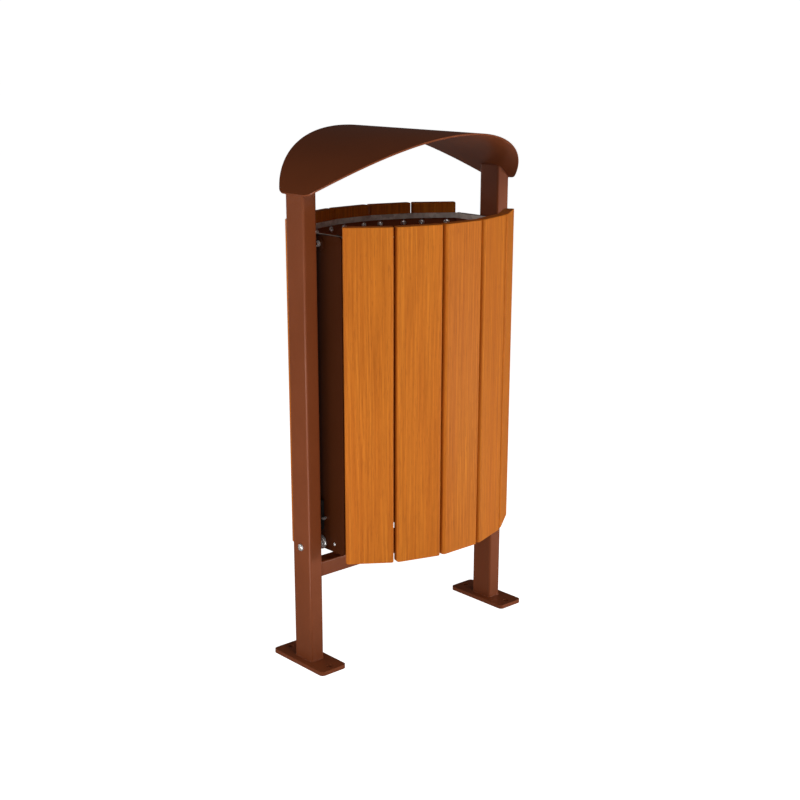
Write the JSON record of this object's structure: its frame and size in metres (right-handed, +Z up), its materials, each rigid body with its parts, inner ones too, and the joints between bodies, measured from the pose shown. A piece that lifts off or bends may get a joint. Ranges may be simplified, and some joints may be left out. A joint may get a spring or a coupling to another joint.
{
  "type": "litter bin",
  "caption": "Free-standing litter bin: a wooden slatted body that tips forward between steel posts, under an arched sheet canopy.",
  "frame": {"origin": "on the ground, midway between the undersides of the two base plates", "axes": "+Z up; +X from the latch post to the plain post; -Y is the front, towards which the body tips"},
  "size_m": [0.54, 0.346, 0.983],
  "materials": {
    "brown_paint": "satin powder coat",
    "wood": "oiled, satin, grain along the slat",
    "galvanised": "galvanised, matte",
    "stainless": "stainless, satin",
    "black_plastic": "matte"
  },
  "bodies": {
    "frame": {"left_base_plate": "brown_paint", "right_base_plate": "brown_paint", "left_post": "brown_paint", "right_post": "brown_paint", "cross_bar": "brown_paint", "canopy": "brown_paint", "pivot_bolts": "stainless", "pivot_spacers": "galvanised", "pivot_washers": "stainless", "pivot_nuts": "stainless", "stop_blocks": "black_plastic"},
    "bin_body": {"left_end_panel": "brown_paint", "right_end_panel": "brown_paint", "front_top_hoop": "brown_paint", "front_bottom_hoop": "brown_paint", "back_top_hoop": "brown_paint", "back_bottom_hoop": "brown_paint", "floor_plate": "brown_paint", "front_slat_1": "wood", "front_slat_2": "wood", "front_slat_3": "wood", "front_slat_4": "wood", "front_slat_5": "wood", "back_slat_1": "wood", "back_slat_2": "wood", "back_slat_3": "wood", "back_slat_4": "wood", "back_slat_5": "wood", "slat_screws": "stainless", "pivot_bushes": "black_plastic", "rest_pins": "stainless", "tilt_pins": "stainless", "hoop_rivets": "stainless", "latch_bush": "stainless", "latch_plate": "brown_paint", "ring_rests": "brown_paint"},
    "latch": {"latch_pin": "stainless", "latch_knob": "black_plastic"},
    "ring": {"bag_ring": "galvanised"}
  },
  "joints": [
    {"name": "body_tilt", "type": "hinge", "parent": "frame", "child": "bin_body", "pos_m": [0, 0, 0.234], "axis": [1, 0, 0], "range_deg": [0, 40]},
    {"name": "latch_slide", "type": "slide", "parent": "bin_body", "child": "latch", "axis": [-1, 0, 0], "range_m": [0, 0.018]},
    {"name": "ring_lift", "type": "slide", "parent": "bin_body", "child": "ring", "axis": [0, 0, 1], "range_m": [0, 0.06]}
  ]
}
